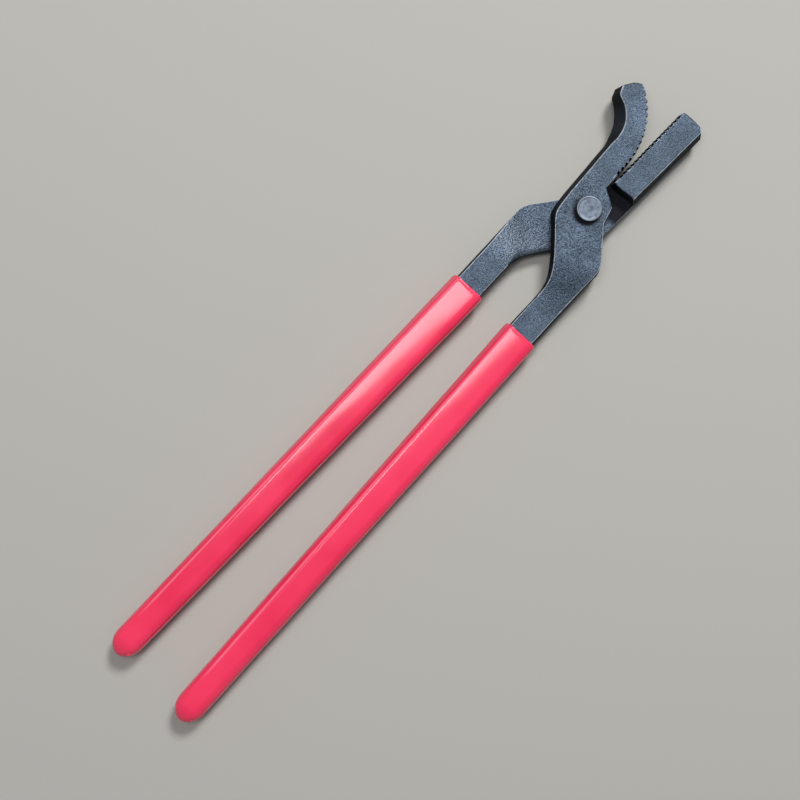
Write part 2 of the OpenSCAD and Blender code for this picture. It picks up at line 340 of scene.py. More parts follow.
def ring_pattern(arc, wall, flat, gather=1):
    """The points round a rounded rectangle, from its low right corner up and over the top: the two
    corners that each lies between, its share of the way, its outward direction across and up,
    and how near it is to the middle of a corner. Walls and flats follow the corners in turn, and
    on the flats the points gather towards the right by the power given."""
    first, second, part, turn, near = [], [], [], [], []
    for corner in range(4):
        side = flat if corner % 2 else wall
        steps = np.arange(arc + 1) / arc
        first += [corner] * (arc + 1 + side)
        second += [corner] * (arc + 1) + [(corner + 1) % 4] * side
        even = (np.arange(side) + 1) / (side + 1)
        part += [0] * (arc + 1) + [even, even ** gather, even, 1 - (1 - even) ** gather][corner].tolist()
        turn += (90 * (corner + steps)).tolist() + [90 * (corner + 1)] * side
        near += np.sin(math.pi * steps).tolist() + [0] * side
    turn = np.radians(turn)
    return np.array(first), np.array(second), np.array(part), -np.sin(turn), -np.cos(turn), np.array(near)


def rounded_rings(half_width, half_height, radii, pattern):
    """Rounded rectangles, one for each half width: a corner's arc is drawn round a centre that
    lies its radius in from both sides, and a side runs straight between two arcs."""
    first, second, part, out, up, _ = pattern
    sides = np.array([[-1, -1], [-1, 1], [1, 1], [1, -1]])
    centre_w = sides[:, 0] * (half_width[:, None] - radii)
    centre_h = sides[:, 1] * (half_height[:, None] - radii)
    w = mix(centre_w[:, first] + radii[:, first] * out, centre_w[:, second] + radii[:, second] * out, part)
    h = mix(centre_h[:, first] + radii[:, first] * up, centre_h[:, second] + radii[:, second] * up, part)
    return w, h


def mesh_of(rings, start, end, values=None):
    """A closed mesh: quads between neighbouring rings, and a fan from a pole at each end, with the
    values of its points."""
    count, around = rings.shape[:2]
    points = np.vstack([rings.reshape(-1, 3), start, end])
    here = np.arange(count * around).reshape(count, around)
    beside = np.roll(here, -1, axis=1)
    quads = np.stack([here[:-1], here[1:], beside[1:], beside[:-1]], -1).reshape(-1, 4)
    pole = np.full(around, count * around)
    fans = np.vstack([
        np.stack([pole, here[0], beside[0]], -1), np.stack([pole + 1, beside[-1], here[-1]], -1)])
    mesh = bpy.data.meshes.new("piece")
    mesh.from_pydata(points.tolist(), [], quads.tolist() + fans.tolist())
    for label, value in (values or {}).items():
        data = mesh.attributes.new(label, "FLOAT", "POINT").data
        data.foreach_set("value", np.append(value.ravel(), [0, 0]).astype(np.float32))
    mesh.update()
    return mesh


def stations(s, left, right, low, high, left_draft, right_draft, **more):
    """Cross-sections of a lever as arrays of one length: both edges' points in plan, the lowest
    and highest z, and the lean of both walls over the half height. The low corners and the bevel
    of the right ones have the usual rounding unless given. What else isn't given is 0: further
    rounding of the left low corner, the depth of the teeth, the width and fall of the strip
    along them, how far the section is drawn in all round, its swell forwards and that swell's
    skew, how worn its corners are beyond the usual, and how far it closes to a point."""
    names = ("crotch", "tooth", "land", "land_fall", "inset", "swell", "skew", "rubbed", "closed")
    given = dict.fromkeys(names, 0) | dict.fromkeys(("low_radius", "bevel"), s.edge_radius) | more
    given |= dict(low=low, high=high, left_draft=left_draft, right_draft=right_draft)
    st = {k: np.array(np.broadcast_to(v, len(left)), float) for k, v in given.items()}
    return st | dict(left=left, right=right)


def joined(parts):
    """Several runs of cross-sections as one."""
    return {k: np.concatenate([p[k] for p in parts]) for k in parts[0]}


def closing(run, row, shares):
    """One cross-section of a run for each share by which it closes to a point."""
    row = {k: np.repeat(v[[row]], len(shares), axis=0) for k, v in run.items()}
    return row | {"closed": np.array(shares)}


def back_at(s, x):
    """The straight back's distance from the axis at x."""
    return s.back + s.back_flare * x


def rein_at(s, x, steel_end):
    """The rein's middle, half width and half height at x, all straight lines along it."""
    t = np.clip((-s.collar - x) / (steel_end - s.collar), 0, 1)
    y = -s.rein_distance + s.splay * (x + s.collar)
    return y, mix(s.rein_width, s.tail_width, t) / 2, mix(s.rein_height, s.tail_height, t) / 2


def rein_stations(s, steel_end):
    """The tapered steel inside the grip, from its closed end to the collar."""
    x = np.linspace(-steel_end, -s.collar, 26)[:-1]
    y, w, h = rein_at(s, x, steel_end)
    run = stations(s, np.stack([x, y + w], -1), np.stack([x, y - w], -1), -h, h, s.draft / 2, s.draft)
    return joined([closing(run, 0, [0.8, 0.5, 0.2, 0]), {k: v[1:] for k, v in run.items()}])


def neck_stations(s, shift):
    """The neck, from the collar to the boss: a smooth curve through the rows of NECK."""
    rows = np.array(NECK) * [MM, 1, MM, 1, shift, 1]
    t = np.arange(0, (len(rows) - 1) * 14) / 14
    q = through(rows, t)
    rise = np.clip(q[:, 5], 0, 1)
    rein, side = -s.rein_distance, s.rein_width / 2
    boss_low = s.boss_radius * math.sin(math.radians(BOSS[0][1]))
    left = np.stack([q[:, 0], mix(rein + side, back_at(s, q[:, 0]), q[:, 1])], -1)
    right = np.stack([q[:, 2] + q[:, 4], mix(rein - side, boss_low, q[:, 3])], -1)
    return stations(
        s, left, right,
        mix(-s.rein_height / 2, s.lap_gap / 2, rise), mix(s.rein_height / 2, s.half_height, rise),
        mix(s.draft / 2, s.draft, rise), mix(s.draft, s.draft / 2, rise),
        low_radius=mix(s.edge_radius, LAP_ROUNDING, smooth(rise * 1.5 - 0.5)),
        crotch=s.crotch_radius * smooth((t - 2) / 2) * smooth((11 - t) / 2))


def boss_stations(s, edge):
    """Round the front of the boss on a swelling arc, then into the throat and up to the shoulder."""
    q = through(BOSS, np.arange(0, (len(BOSS) - 1) * 9 + 1) / 9)
    turn = np.radians(q[:, 1])
    radius = s.boss_radius + q[:, 2] * MM
    right = np.stack([radius * np.cos(turn), radius * np.sin(turn)], -1)
    throat = s.boss_radius + THROAT_OUT
    into = np.linspace(0, 1, 6)[1:, None]
    right = np.vstack([right, mix(right[-1], np.array([throat, edge]), into)])
    left_x = np.append(q[:, 0] * MM, mix(q[-1, 0] * MM, throat + 0.1 * MM, into[:, 0]))
    along = np.linspace(0, 1, 8)[1:-1]
    right = np.vstack([right, np.stack([mix(throat, s.shoulder, along), np.full(6, edge)], -1)])
    left_x = np.append(left_x, mix(left_x[-1], s.shoulder, along))
    share_in = smooth((left_x - BOSS[-1][0] * MM) / (throat - BOSS[-1][0] * MM))
    broad = smooth(left_x / (3 * MM)) * (1 - share_in)
    return stations(
        s, np.stack([left_x, back_at(s, left_x)], -1), right, s.lap_gap / 2, s.half_height,
        s.draft, mix(s.draft / 2, 0, share_in),
        low_radius=LAP_ROUNDING, bevel=mix(s.edge_radius, s.front_bevel, broad))


def jaw_stations(s, jaw, run, edges, right_draft, growth, spare):
    """A full-height jaw: a leaning step down from the lap, then saw teeth, each longer than the
    last by the growth, a short crest that falls away towards the jaw's end and rises steeply,
    and an end face rolled in all round, at least the spare length past the last tooth."""
    k = np.arange(60)
    tips = FIRST_TOOTH + k * jaw.pitch + growth * k * (k - 1) / 2
    tips = tips[tips < run - spare]
    gap = np.diff(tips)
    marks = np.stack([tips[:-1], tips[:-1] + CREST * gap, tips[:-1] + CUT * gap, tips[1:] - TOOTH_RISE], -1)
    marks = np.concatenate([[0], marks.ravel(), tips[-1:], [run]])
    cut = np.concatenate([[0], np.tile([0, 0, 0.75 * jaw.depth, jaw.depth], len(gap)), [0, 0]])
    fine = (tips[:-1, None] + gap[:, None] * np.array([0.04, 0.35, 0.65, 0.8])).ravel()
    rise = (tips[1:, None] - TOOTH_RISE * np.array([1.4, 0.5])).ravel()
    before = np.linspace(WALLS_FROM, tips[0], 8)[:-1]
    after = np.linspace(tips[-1], run - END_ROLL, 12)[1:]
    place = np.unique(np.concatenate([marks[1:-1], fine, rise, before, after]))
    place = place[place <= run - END_ROLL]

    def section(along, low, **more):
        left, right, left_draft = edges(along)
        return stations(s, left, right, low, s.half_height, left_draft, right_draft, land=jaw.land, **more)

    bottom = -s.half_height
    wave = dict(swell=-s.step_wave, skew=3)
    fall = np.linspace(0, 1, 12)
    down = section(fall * STEP_LEAN, mix(s.lap_gap / 2 - LAP_ROUNDING, bottom + FOOT_RADIUS, fall),
                   low_radius=LAP_ROUNDING, **wave)
    turn = np.radians(np.linspace(0, 90, 6)[1:])
    foot = section(STEP_LEAN + FOOT_RADIUS * (1 - np.cos(turn)), bottom + FOOT_RADIUS * (1 - np.sin(turn)),
                   low_radius=mix(LAP_ROUNDING, s.edge_radius, np.sin(turn)), **wave)
    toe = smooth((place - tips[-1]) / (run - tips[-1]) * 1.4)
    settled = smooth((place - WALLS_FROM) / FIRST_TOOTH)
    early = place < run / 2
    step_swell = -s.step_wave * smooth(1 - place / (4 * MM))
    end_swell = jaw.end_swell * smooth(1 - (run - place) / (6 * MM))
    body = section(place, bottom,
                   bevel=mix(mix(s.edge_radius, jaw.bevel, settled), jaw.toe_bevel, toe),
                   tooth=np.interp(place, marks, cut), land_fall=jaw.land_fall * settled,
                   swell=np.where(early, step_swell, end_swell),
                   skew=np.where(early, wave["skew"], jaw.end_skew), rubbed=toe)
    turn = np.radians(np.linspace(0, 90, 8)[1:])
    end = section(run - END_ROLL * (1 - np.sin(turn)), bottom, bevel=jaw.toe_bevel,
                  inset=END_ROLL * (1 - np.cos(turn)), land_fall=jaw.land_fall,
                  swell=jaw.end_swell, skew=jaw.end_skew, rubbed=1)
    face = closing(end, -1, [0.04, 0.12, 0.25, 0.4, 0.6, 0.75, 0.9])
    return joined([down, foot, body, end, face])


def circle(turn):
    """Points of the unit circle at angles from straight down."""
    return np.stack([np.sin(turn), -np.cos(turn)], -1)


def curved_jaw_edges(s, jaw):
    """The length along the teeth, and what gives for places along it the back, an arc deeper and
    further ahead by CURVED_BACK, the toothed edge, a line and an arc, and the back wall's lean."""
    line = jaw.bend_start - s.shoulder
    curve = jaw.bend_radius * jaw.bend_angle
    depth = back_at(s, jaw.bend_start) - jaw.edge
    centre = np.array([jaw.bend_start, jaw.edge + jaw.bend_radius])

    def edges(along):
        part = np.clip((along - line) / curve, 0, 1)
        ahead, deeper, lean = through(np.array(CURVED_BACK) * [1, MM, MM], part * (len(CURVED_BACK) - 1)).T
        radius = jaw.bend_radius - depth - deeper
        back = centre + radius[:, None] * circle(part * jaw.bend_angle + np.radians(ahead))
        teeth = centre + jaw.bend_radius * circle(np.maximum(along - line, 0) / jaw.bend_radius)
        x = s.shoulder + along
        straight = (along < line)[:, None]
        left = np.where(straight, np.stack([x, back_at(s, x)], -1), back)
        right = np.where(straight, np.stack([x, np.full_like(x, jaw.edge)], -1), teeth)
        return left, right, s.draft + lean

    return line + curve, edges


def block_jaw_edges(s, jaw):
    """The same for the block jaw, with a straight back, whose outer corner is cut off, a falling
    toothed edge and an even lean."""
    run = jaw.end - s.shoulder

    def edges(along):
        x = s.shoulder + along
        left = np.stack([x, back_at(s, x) - np.maximum(0, along - run + jaw.corner)], -1)
        return left, np.stack([x, jaw.fall * along - jaw.edge], -1), np.full_like(x, s.draft)

    return run, edges


RING = ring_pattern(arc=6, wall=11, flat=20, gather=1.7)


def lever_points(s, st, seed):
    """Rings of points for the cross-sections, and each point's values: how worn it is, on edges and
    on the brow above the teeth, how dark it is drawn, on the lap faces, whose scale is darkened
    further as painted shade in the recess by the step, and on a disc of painted shadow round the
    rivet, how strong a painted sheen it has on the neck, and how pebbled. Each ring is a rounded
    rectangle between the two edges, whose walls lean in with the distance from the parting plane.
    Teeth cut into the right wall, and forged hollows move each point inwards."""
    span = st["left"] - st["right"]
    width = np.linalg.norm(span, axis=1)
    across = span / width[:, None]
    ahead = np.stack([across[:, 1], -across[:, 0]], -1)
    width = width - 2 * st["inset"]
    low = st["low"] + st["inset"]
    high = st["high"] - st["inset"]
    radii = np.stack([
        np.where(st["low"] < -s.half_height * 0.9, st["bevel"], st["low_radius"]), st["bevel"],
        np.full(len(span), s.edge_radius), st["low_radius"] + st["crotch"]], -1)
    radii = np.maximum(radii - st["inset"][:, None] * 0.6, LEAST_ROUNDING)
    w, h = rounded_rings(width / 2, (high - low) / 2, radii, RING)
    half, middle = width[:, None] / 2, (low + high)[:, None] / 2
    closed = st["closed"][:, None]
    w = mix(np.maximum(w + half, st["tooth"][:, None]), half, closed)
    z = mix(h + middle, middle, closed)
    lean = np.abs(z) / s.half_height
    right_in = st["right_draft"][:, None] * lean
    left_in = st["left_draft"][:, None] * lean
    part = w / width[:, None]
    out, up, near = RING[3:]
    land = np.maximum(st["land"][:, None], LEAST_ROUNDING)
    fall = st["land_fall"][:, None]
    brow = np.exp(-((w - land) / BROW_SPAN) ** 2) * (up != 0) * (fall > 0)
    z = z - np.sign(z) * fall * np.clip(1 - w / land, 0, 1) * (up != 0)
    w = right_in + part * (width[:, None] - right_in - left_in) + st["inset"][:, None]
    bow = st["swell"][:, None] * (1 - (2 * part - 1) ** 2) * (1 + st["skew"][:, None] * (1 - 2 * part))
    plan = st["right"][:, None] + across[:, None] * w[..., None] + ahead[:, None] * bow[..., None]
    points = np.concatenate([plan, z[..., None]], -1)

    lap = (up < -0.5) & (low[:, None] > -s.half_height * 0.95) & (high[:, None] > s.rein_height / 2 + MM)
    depth = mix(waves(points, LONG_HOLLOWS, seed), waves(points, SHORT_HOLLOWS, seed + 1), 0.35)
    depth = s.waviness * depth * ~lap * (1 - closed)
    points[..., :2] -= depth[..., None] * out[:, None] * across[:, None]
    points[..., 2] -= depth * up
    tight = np.minimum(1, s.edge_radius / radii[:, RING[0]]) ** 1.5
    x = points[..., 0]
    worn = np.maximum(near * tight * (1 + st["rubbed"][:, None]), 0.8 * brow)
    # Painted shade: the lap faces towards the step are drawn darker than their scale as shade in the recess
    # there, and a dark disc round the rivet, moved a little towards the reins, is the painted shadow of the
    # rivet's head. The value after it is a painted sheen on the neck's lap-side slope.
    painted_rivet_shadow = smooth((SHADOW_DISC - np.hypot(x + SHADOW_BACK, points[..., 1])) / SHADOW_FADE)
    return points, {
        WORN: worn * np.clip(1 - 14 * closed, 0, 1),
        SCALE_AND_SHADE: np.maximum(lap * smooth((x - 2 * MM) / (4 * MM)), painted_rivet_shadow * (1 - near)),
        PAINTED_SHEEN: SHEEN_SHARE * np.exp(-((x - SHEEN_AT) / SHEEN_SPAN) ** 2) * (up < -0.5),
        PEBBLED: smooth((x - PEBBLED_FROM) / PEBBLED_FADE) * smooth((PEBBLED_TO - x) / PEBBLED_FADE)}


GRIP_RING = ring_pattern(arc=9, wall=12, flat=12)


def grip_points(s, g, reach, seed):
    """Rings of a coat, as one closed skin: along the steel from its end to the collar, over the
    rounded lip, and back outside to the rounded end, a quarter circle. Each is a rounded
    rectangle with bulging flats, whose walls lean in from the middle, wider than the steel by
    the coat outside and by the fit inside. Two opposite corners are tight and the other two
    soft. Its one value is the strength of a painted highlight on the tight corners, near their flats."""
    steel_end = reach - g.coat_end

    def rows(x, wide, out):
        y, w, h = rein_at(s, x, steel_end)
        return np.stack([x, y, w + wide, h + wide, out], -1)

    inner_x = np.linspace(-steel_end - g.fit, -s.collar - g.lip, 40)
    inner = rows(inner_x, g.fit, np.zeros(40))
    roll = np.linspace(0, math.pi, 11)[1:]
    over = (1 - np.cos(roll)) / 2
    lip = rows(-s.collar - g.lip * (1 - np.sin(roll)), mix(g.fit, g.coat - 0.3 * MM, over), over)
    outer_x = np.concatenate([
        -s.collar - g.lip - np.array([0.5, 1, 1.6, 2.4, 3.4, 5]) * MM,
        np.linspace(-s.collar - 7 * MM, -reach + g.end_round, 110),
        -reach + g.end_round * (1 - np.sin(np.linspace(0, math.pi / 2, 26)[1:-1]))])
    fallen = COLLAR_FALL * (1 - smooth((-s.collar - outer_x) / COLLAR_FALL_RUN))
    outer = rows(outer_x, g.coat - fallen, np.ones_like(outer_x))
    outer[:, 2:4] *= np.sqrt(1 - (1 - np.clip((outer_x + reach) / g.end_round, 0, 1)) ** 2)[:, None]

    x, y, w, h, out = np.vstack([inner, lip, outer]).T
    across_out, up_out = GRIP_RING[3:5]
    along = smooth((-s.collar - x) / (reach - s.collar) * 1.1)
    soft = mix(s.edge_radius, mix(g.corner, END_CORNER, along), out)
    tight = mix(s.edge_radius, mix(g.ridge, END_RIDGE, along), out)
    radii = np.minimum(np.stack([tight, soft, tight, soft], -1), 0.96 * h[:, None])
    across, up = rounded_rings(w, h, radii, GRIP_RING)
    side = across / w[:, None]
    height = up / h[:, None]
    steel_lean = np.abs(up) / s.half_height * np.where(side < 0, s.draft, s.draft / 2)
    slant = mix(g.slant, END_SLANT, along)[:, None]
    coat_lean = np.abs(height) * np.where(side * height > 0, slant, SOFT_SLANT)
    share_out = out[:, None]
    full = np.minimum((w / (s.rein_width / 2))[:, None] * share_out, 1)
    across = across - side * mix(steel_lean, coat_lean * full, share_out)
    up = up + np.sign(up) * g.crown * share_out * (1 - side ** 2) * np.abs(up_out) * full
    points = np.stack([np.broadcast_to(x[:, None], up.shape), y[:, None] + across, up], -1)
    outside = (np.arange(len(x)) >= len(inner) + len(lip))[:, None]
    depth = FLOW_DEPTH * waves(points, FLOW_WAVES, seed) * outside
    points[..., 1] -= depth * across_out
    points[..., 2] -= depth * up_out
    # Painted highlight: a pale line on the tight corners' arcs, near their flats, where a ridge would catch
    # the light.
    ridge_highlight = np.exp(-((up_out ** 2 - 0.82) / 0.14) ** 2) * (across_out * up_out > 0.01)
    return points, {PAINTED_HIGHLIGHT: outside * ridge_highlight * smooth((x + reach - g.end_round) / HIGHLIGHT_FADE)[:, None]}


def half_mesh(s, half, points, values):
    """The closed mesh of rings given from the lap plane, with the lower half turned over."""
    flip = -1 if half == LOWER else 1
    points = points * np.array([1, flip, flip]) + np.array([0, 0, s.half_height])
    return mesh_of(points, points[0].mean(0), points[-1].mean(0), values)


def turned_mesh(profile, around, wobble=0, seed=0):
    """A closed mesh of a profile of (radius, height) pairs turned about the Z axis, from the lowest
    pole to the highest. Its radius may waver by a share in slow waves round the axis."""
    profile = np.array(profile)
    turn = -2 * math.pi * np.arange(around) / around
    spokes = np.stack([np.cos(turn), np.sin(turn)], -1)
    rng = np.random.default_rng(seed)
    waver = sum(np.sin(k * turn + rng.uniform(0, 6)) / k for k in (2, 3, 5)) * wobble
    ring = profile[1:-1]
    points = np.concatenate([
        ring[:, None, :1] * spokes * (1 + waver)[:, None],
        np.broadcast_to(ring[:, None, 1:], (len(ring), around, 1))], -1)
    return mesh_of(points, [0, 0, profile[0, 1]], [0, 0, profile[-1, 1]])


def arc(centre, radius, start, stop, steps):
    """Points of a circular arc in a profile's plane, angles in degrees."""
    turn = np.radians(np.linspace(start, stop, steps + 1))
    return [(centre[0] + radius * math.cos(t), centre[1] + radius * math.sin(t)) for t in turn]


def bored(mesh, cutter):
    """The mesh less the cutter, as a new mesh, by an exact Boolean on two scratch objects."""
    body, tool = (bpy.data.objects.new("scratch", m) for m in (mesh, cutter))
    for o in (body, tool):
        bpy.context.scene.collection.objects.link(o)
    cut = body.modifiers.new("bore", "BOOLEAN")
    cut.operation = "DIFFERENCE"
    cut.solver = "EXACT"
    cut.object = tool
    bpy.context.view_layer.update()
    made = bpy.data.meshes.new_from_object(body.evaluated_get(bpy.context.evaluated_depsgraph_get()))
    for o in (body, tool):
        bpy.data.objects.remove(o)
    if len(made.polygons) < len(mesh.polygons) / 2:
        raise RuntimeError("the rivet hole ate the lever")
    return made


def add_piece(mesh, name, material, body, node, sharp=38):
    """An object of the mesh, smooth but for edges sharper than that many degrees, which rides on
    its body and stands for its node."""
    mesh.name = name
    mesh.materials.clear()
    mesh.materials.append(material)
    mesh.shade_smooth()
    mesh.set_sharp_from_angle(angle=math.radians(sharp))
    piece = bpy.data.objects.new(name, mesh)
    bpy.context.scene.collection.objects.link(piece)
    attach(piece, body)
    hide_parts(node)


# Materials

# What the grain multiplies the steel's colour by, where it is dull and where it glints.
DULL = srgb("#929ba9")
GLINT = (1.86, 1.78, 1.71, 1)


def add(tree, kind, inputs=None, stops=(), **settings):
    """The outputs of a new shader node with its settings, its inputs, each a value, a socket or
    another node's outputs, of which it takes the first, and a colour ramp's stops, pairs of
    place and colour or grey level."""
    node = tree.nodes.new("ShaderNode" + kind)
    for name, value in settings.items():
        setattr(node, name, value)
    for name, value in (inputs or {}).items():
        if isinstance(value, bpy.types.bpy_prop_collection):
            value = value[0]
        if isinstance(value, bpy.types.NodeSocket):
            tree.links.new(value, node.inputs[name])
        else:
            node.inputs[name].default_value = value
    for k, (place, shade) in enumerate(stops):
        step = node.color_ramp.elements[k] if k < 2 else node.color_ramp.elements.new(place)
        step.position = place
        step.color = tuple(shade) if hasattr(shade, "__len__") else (shade, shade, shade, 1)
    return node.outputs


def new_material(name, *noises):
    """A material with an empty tree, in place of the frame's of that name, the function that adds
    a node to it, and a noise on the object's own coordinates for each grain size, detail and
    roughness."""
    if name in bpy.data.materials:
        bpy.data.materials.remove(bpy.data.materials[name])
    material = bpy.data.materials.new(name)
    material.use_nodes = True
    material.node_tree.nodes.clear()
    node = partial(add, material.node_tree)
    made = [node("TexNoise", {"Vector": node("TexCoord")["Object"], "Scale": 1 / size, "Detail": detail,
                              "Roughness": rough}) for size, detail, rough in noises]
    return material, node, *made


def uprightness(node):
    """How far the surface faces straight up or down, from 0 to 1."""
    normal = node("SeparateXYZ", {"Vector": node("TexCoord")["Normal"]})
    return node("Math", {0: normal["Z"]}, operation="ABSOLUTE")


# A Mix node's inputs 6 and 7 and its output 2 are colours, its inputs 2 and 3 and output 0 numbers.


def blackened_forging(f):
    """Medium-carbon steel, drop forged and blackened with its scale on. The eye sees walls drawn
    black, partly for their whole scale and partly as painted shade, blue-grey rubbed faces with a
    pebbled grain that glints, slow patches, a pale painted sheen on the neck's slope, lap faces by
    the step and a disc round the rivet drawn dark, partly scale and partly painted shade and
    shadow, and pale worn edges. The scale's grain of a few tenths of a millimetre is too fine to
    show, and is drawn at 0.65 mm."""
    material, node, grain, pebble, patch = new_material(
        "blackened_forging", (0.65 * MM, 3, 0.65), (1.3 * MM, 2, 0.5), (13 * MM, 3, 0.55))
    pebbled, polished, scale_shade, worn = (
        node("Attribute", attribute_name=name)["Fac"] for name in (PEBBLED, PAINTED_SHEEN, SCALE_AND_SHADE, WORN))
    face = node("ValToRGB", {"Fac": uprightness(node)}, [(0.35, 0), (0.75, 1)])
    rub = node("Math", {0: worn, 1: grain}, operation="MULTIPLY")
    bare = node("ValToRGB", {"Fac": rub}, [(0.31, 0), (0.42, 1)])

    skin = node("ValToRGB", {"Fac": patch}, [(0.35, f.scale_dark), (0.65, f.scale_light)])
    speck = node("ValToRGB", {"Fac": grain}, [(0.34, DULL), (0.66, GLINT)])
    speckled = node("ValToRGB", {"Fac": pebbled}, [(0, 0.62), (1, 1)])
    # The first mix lays pale steel on the neck as a painted sheen; the last lays the dark lap scale, with
    # painted shade in the recess by the step and a painted shadow round the rivet.
    over = ((polished, f.worn_steel, "MIX"), (speckled, speck, "MULTIPLY"), (scale_shade, f.lap_scale_and_shade, "MIX"))
    for part, tone, blend in over:
        skin = node("Mix", {"Factor": part, 6: skin, 7: tone}, data_type="RGBA", blend_type=blend)[2]
    # Walls are drawn near black, partly for their whole scale and partly as painted shade on sides that
    # face away from the light overhead.
    skin = node("Mix", {"Factor": face, 6: f.wall_scale_and_shade, 7: skin}, data_type="RGBA")[2]
    skin = node("Mix", {"Factor": bare, 6: skin, 7: f.worn_steel}, data_type="RGBA")[2]

    metal = node("ValToRGB", {"Fac": face}, [(0, 0.3), (1, 0.55)])
    metal = node("Mix", {"Factor": scale_shade, 2: metal, 3: 0.1})
    metal = node("Mix", {"Factor": bare, 2: metal, 3: 0.4})
    rough = node("ValToRGB", {"Fac": grain}, [(0.3, 0.3), (0.7, 0.44)])
    rough = node("Mix", {"Factor": face, 2: 0.65, 3: rough})
    raised = node("ValToRGB", {"Fac": pebbled}, [(0, 0.35), (1, 1)])
    height = node("Math", {0: pebble, 1: raised}, operation="MULTIPLY")
    height = node("Math", {0: height, 1: grain}, operation="ADD")
    bump = node("Bump", {"Height": height, "Strength": 1.0, "Distance": 0.26 * MM})
    surface = node("BsdfPrincipled", {
        "Base Color": skin, "Metallic": metal, "Roughness": rough, "Normal": bump,
        "Specular Tint": srgb("#6e6e6e"), "Specular IOR Level": 0.25})
    node("OutputMaterial", {"Surface": surface})
    return material


def rubbed_rivet_steel(f):
    """Mild steel, headed hot and rubbed bright in use. The eye sees a face paler and greyer than
    the forging, softly mottled with stains, a bright rim that is partly worn and partly a painted
    highlight, and a side drawn black, partly its scale and partly painted shade."""
    material, node, stain, grain = new_material(
        "rubbed_rivet_steel", (3.2 * MM, 4, 0.6), (0.9 * MM, 3, 0.5))
    upright = uprightness(node)
    # The side is drawn black, partly for its scale and partly as painted shade; the rim is drawn pale,
    # partly for wear and partly as a painted highlight.
    rubbed = node("ValToRGB", {"Fac": upright}, [(0.1, 0), (0.3, 1)])
    rim = node("ValToRGB", {"Fac": upright}, [(0.4, 0), (0.6, 1), (0.85, 1), (0.97, 0)])
    skin = node("ValToRGB", {"Fac": stain}, [(0.38, f.rivet_dark), (0.62, f.rivet_steel)])
    skin = node("Mix", {"Factor": rubbed, 6: f.wall_scale_and_shade, 7: skin}, data_type="RGBA")[2]
    skin = node("Mix", {"Factor": rim, 6: skin, 7: f.worn_steel}, data_type="RGBA")[2]
    rough = node("ValToRGB", {"Fac": stain}, [(0.3, 0.55), (0.7, 0.36)])
    bump = node("Bump", {"Height": grain, "Strength": 0.3, "Distance": 0.12 * MM})
    surface = node("BsdfPrincipled", {
        "Base Color": skin, "Metallic": 0.75, "Roughness": rough, "Normal": bump})
    node("OutputMaterial", {"Surface": surface})
    return material


def dipped_vinyl(f):
    """PVC plastisol, dipped and cured. The eye sees a glossy coral-red coat with soft slow waves
    from its flow, deeper where it is thick, with a pale painted highlight along its tight ridges."""
    material, node, flow, ripple = new_material(
        "dipped_vinyl", (26 * MM, 2, 0.45), (7 * MM, 2, 0.4))
    skin = node("ValToRGB", {"Fac": flow}, [(0.35, f.vinyl_deep), (0.62, f.vinyl)])
    # A painted highlight: pale vinyl along the tight ridges, where the coat would catch the light.
    ridge_highlight = node("Attribute", attribute_name=PAINTED_HIGHLIGHT)["Fac"]
    thin = node("ValToRGB", {"Fac": ridge_highlight}, [(0.3, 0), (1, 0.6)])
    skin = node("Mix", {"Factor": thin, 6: skin, 7: f.vinyl_highlight}, data_type="RGBA")[2]
    bump = node("Bump", {"Height": ripple, "Strength": 0.25, "Distance": 0.25 * MM})
    surface = node("BsdfPrincipled", {
        "Base Color": skin, "IOR": 1.53, "Specular IOR Level": 0.1, "Roughness": 0.42, "Normal": bump,
        "Coat Weight": 0.78, "Coat IOR": 1.5, "Coat Roughness": 0.13})
    node("OutputMaterial", {"Surface": surface})
    return material


def seen_backdrop(node):
    """A factor of 1 for rays from the camera, from gloss and through glass, and 0 for light."""
    ray = node("LightPath")
    seen = node("Math", {0: ray["Is Camera Ray"], 1: ray["Is Glossy Ray"]}, operation="ADD")
    return node("Math", {0: seen, 1: ray["Is Transmission Ray"]}, operation="ADD", use_clamp=True)


def matt_floor_paint(studio):
    """Plain matt paint, rolled on. The eye sees one pale even tone without a gloss, which runs out
    into the backdrop far from the tool."""
    material, node = new_material("matt_floor_paint")
    far = node("VectorMath", {0: node("TexCoord")["Object"]}, operation="LENGTH")["Value"]
    out = node("ValToRGB", {"Fac": far}, [(0.36, 0), (0.8, 1)])
    out = node("Math", {0: out, 1: seen_backdrop(node)}, operation="MULTIPLY")
    paint = node("BsdfPrincipled", {"Base Color": studio.floor, "Roughness": 0.9})
    glow = node("Emission", {"Color": studio.backdrop})
    node("OutputMaterial", {"Surface": node("MixShader", {0: out, 1: paint, 2: glow})})
    return material


# Operators

FLOOR_RADIUS = 4
# The lamps, in metres: the key stands beyond the jaws, and the top one lies where the upper side
# of a grip mirrors it to the camera.
KEY_PLACE = Vector((1.11, 0.37, 1.56))
KEY_AIM = Vector((-0.1, 0, 0))
KEY_SIZE = (0.46, 0.46)
TOP_PLACE = Vector((-0.09, 0.275, 1.6))
TOP_TURN = math.radians(-28)
TOP_SIZE = (0.68, 0.36)
# The camera looks straight down: the point under it, what it sees to its right, and its shift.
VIEW_MIDDLE = (-115.66 * MM, -0.22 * MM)
VIEW_RIGHT = Vector((0.679, -0.734, 0))
VIEW_SHIFT = -13 / 800


